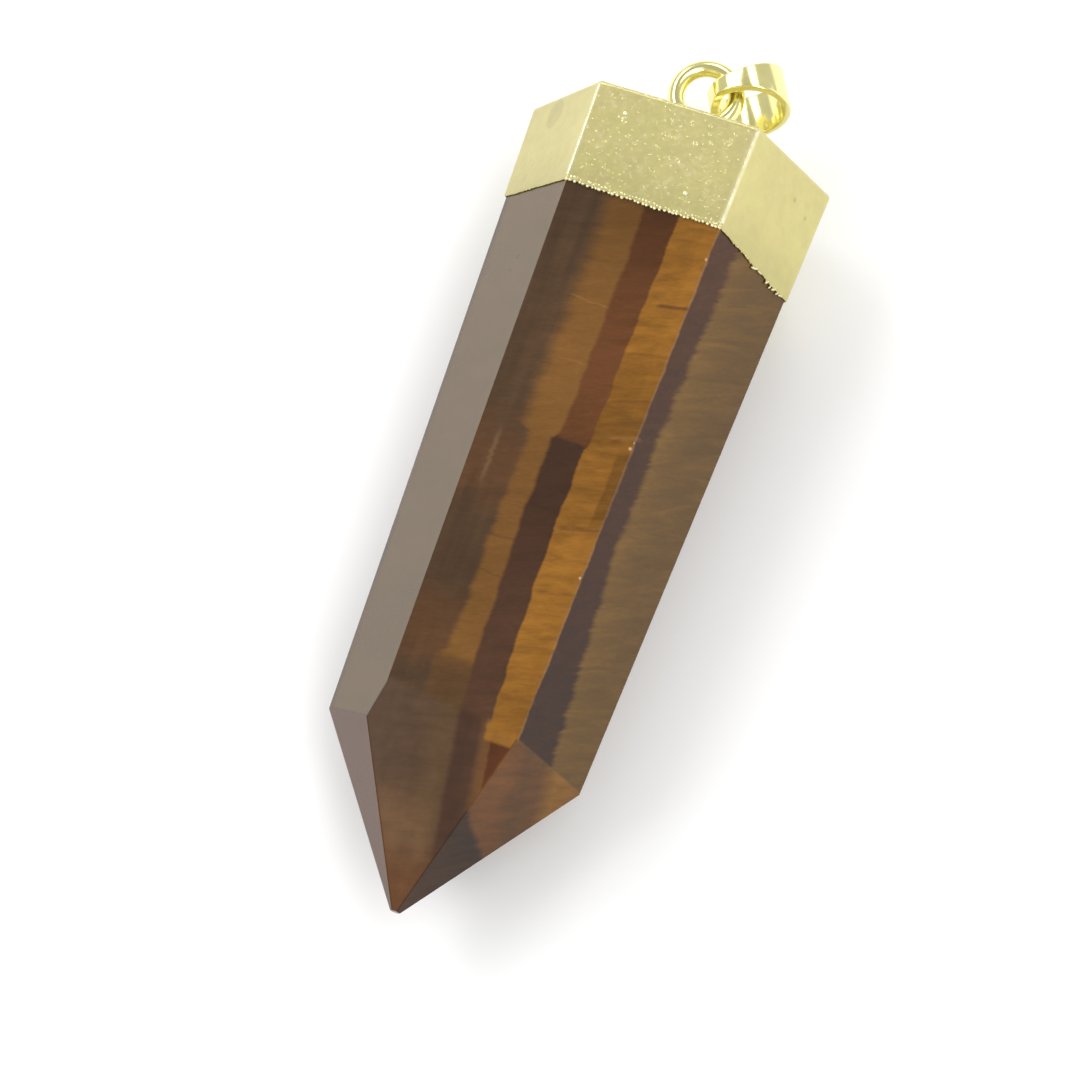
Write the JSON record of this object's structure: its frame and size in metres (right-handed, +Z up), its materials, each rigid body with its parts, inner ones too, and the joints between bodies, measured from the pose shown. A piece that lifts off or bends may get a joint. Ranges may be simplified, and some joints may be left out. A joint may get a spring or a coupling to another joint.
{
  "type": "crystal point pendant",
  "caption": "Hexagonal tiger's eye point pendant with a gold-plated cap, an eyelet ring and a swinging strap bail, lying on its back.",
  "frame": {"origin": "centre of the bounding box on the surface that the pendant lies on", "axes": "+Y along the pendant from the stone's tip to the bail, +Z up from the surface it lies on, +X to the right when looking down on it with the bail at the top"},
  "size_m": [0.0184, 0.0562, 0.0154],
  "materials": {
    "stone": "polished, banded brown and gold",
    "cap_plate": "matte, pitted gold plate",
    "findings": "polished gold plate"
  },
  "bodies": {
    "pendant": {"stone": "stone", "cap": "cap_plate", "eyelet": "findings"},
    "bail": {"bail": "findings"}
  },
  "joints": [
    {"name": "bail_swing", "type": "hinge", "parent": "pendant", "child": "bail", "pos_m": [0.00179, 0.02565, 0.00787], "axis": [0.4695, -0.8824, -0.0304], "range_deg": [-30, 130]}
  ]
}
